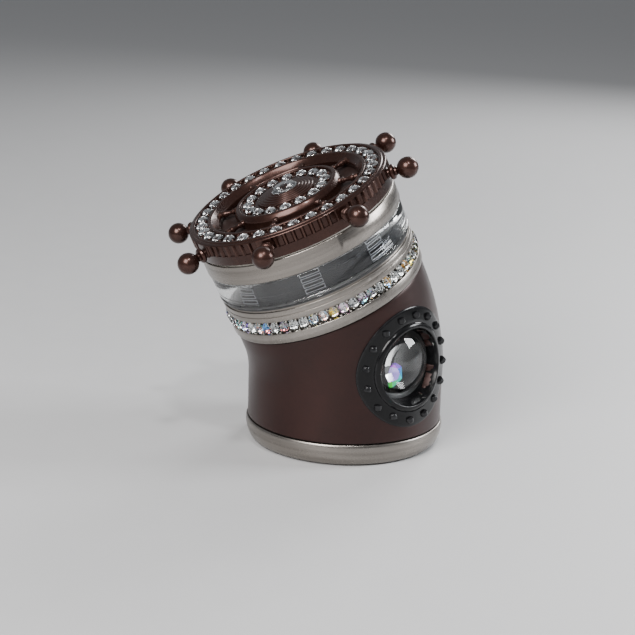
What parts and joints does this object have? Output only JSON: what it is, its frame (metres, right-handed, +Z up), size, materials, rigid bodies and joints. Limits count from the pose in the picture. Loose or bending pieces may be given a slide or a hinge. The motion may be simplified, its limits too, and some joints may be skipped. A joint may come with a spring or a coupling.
{
  "type": "hand grinder",
  "caption": "Leaning round hand grinder with a ship's-wheel lid, crystal-set band, glass ring, elbow case with a porthole, and screw-off base.",
  "frame": {"origin": "middle of the foot pad's underside, on the table", "axes": "+Z up the base's own axis; the head leans 25 degrees towards -X; the porthole faces -Y, a little to +X"},
  "size_m": [0.0713, 0.0654, 0.0766],
  "materials": {
    "mahogany": "satin brown-black enamel",
    "gloss_black": "gloss black enamel",
    "nickel": "brushed round the axis",
    "wheel_brown": "dark reddish brown metallic enamel, worn edges",
    "bowl_alloy": "turned, satin",
    "dark_alloy": "dark anodised",
    "clear_glass": "clear, polished",
    "clear_crystal": "clear cut crystal, foiled back",
    "aurora_crystal": "cut crystal with an iridescent coat",
    "dichroic": "cut crystal with a rainbow coat",
    "seal_rubber": "matt",
    "pad_rubber": "matt",
    "glide_nylon": "matt",
    "magnet": "plated",
    "screw": "machined",
    "mesh": "etched sheet"
  },
  "bodies": {
    "base": {"base_cap": "nickel", "foot_pad": "pad_rubber"},
    "base_thread": {"base_seal": "seal_rubber"},
    "case": {"elbow_body": "mahogany", "porthole_plate": "gloss_black", "porthole_rivets": "gloss_black", "porthole_bezel": "gloss_black", "lens_gasket": "seal_rubber", "porthole_lens": "clear_glass", "lens_cup": "dark_alloy", "porthole_gem": "dichroic"},
    "head_thread": {"mouth_seal": "seal_rubber"},
    "head": {"crystal_collar": "nickel", "band_crystals": "aurora_crystal", "lower_ring": "nickel", "glass_gasket": "seal_rubber", "glass_ring": "clear_glass", "sifter_sleeve": "dark_alloy"},
    "sieve": {"sieve_frame": "bowl_alloy", "sieve_mesh": "mesh"},
    "bowl_thread": {"bowl_gasket": "seal_rubber"},
    "bowl": {"grind_bowl": "nickel", "bowl_teeth": "bowl_alloy", "bowl_magnet": "magnet"},
    "lid_glide": {"glide_ring": "glide_nylon"},
    "lid": {"lid_plate": "bowl_alloy", "lid_teeth": "bowl_alloy", "lid_magnet": "magnet", "lid_screws": "screw", "wheel": "wheel_brown", "rim_crystals": "clear_crystal", "hub_crystals": "clear_crystal", "centre_boss": "wheel_brown", "centre_crystal": "clear_crystal", "handle_1": "wheel_brown", "handle_2": "wheel_brown", "handle_3": "wheel_brown", "handle_4": "wheel_brown", "handle_5": "wheel_brown", "handle_6": "wheel_brown", "handle_7": "wheel_brown", "handle_8": "wheel_brown"}
  },
  "joints": [
    {"name": "case_rise", "type": "slide", "parent": "base", "child": "base_thread", "axis": [0, 0, 1], "range_m": [0, 0.00452]},
    {"name": "case_turn", "type": "hinge", "parent": "base_thread", "child": "case", "pos_m": [0, 0, 0.0263], "axis": [0, 0, 1], "range_deg": [0, 1080]},
    {"name": "head_rise", "type": "slide", "parent": "case", "child": "head_thread", "axis": [-0.4226, 0, 0.9063], "range_m": [0, 0.00452]},
    {"name": "head_turn", "type": "hinge", "parent": "head_thread", "child": "head", "pos_m": [0, 0, 0.0263], "axis": [-0.4226, 0, 0.9063], "range_deg": [0, 1080]},
    {"name": "sieve_lift", "type": "slide", "parent": "head", "child": "sieve", "axis": [-0.4226, 0, 0.9063], "range_m": [0, 0.009]},
    {"name": "bowl_rise", "type": "slide", "parent": "head", "child": "bowl_thread", "axis": [-0.4226, 0, 0.9063], "range_m": [0, 0.00302]},
    {"name": "bowl_turn", "type": "hinge", "parent": "bowl_thread", "child": "bowl", "pos_m": [0, 0, 0.0263], "axis": [-0.4226, 0, 0.9063], "range_deg": [0, 720]},
    {"name": "lid_lift", "type": "slide", "parent": "bowl", "child": "lid_glide", "axis": [-0.4226, 0, 0.9063], "range_m": [0, 0.022]},
    {"name": "lid_spin", "type": "hinge", "parent": "lid_glide", "child": "lid", "pos_m": [0, 0, 0.0263], "axis": [-0.4226, 0, 0.9063], "continuous": true}
  ],
  "couplings": [
    {"joint": "case_rise", "follows": "case_turn", "m_per_rad": 0.00023873},
    {"joint": "head_rise", "follows": "head_turn", "m_per_rad": 0.00023873},
    {"joint": "bowl_rise", "follows": "bowl_turn", "m_per_rad": 0.00023873}
  ]
}
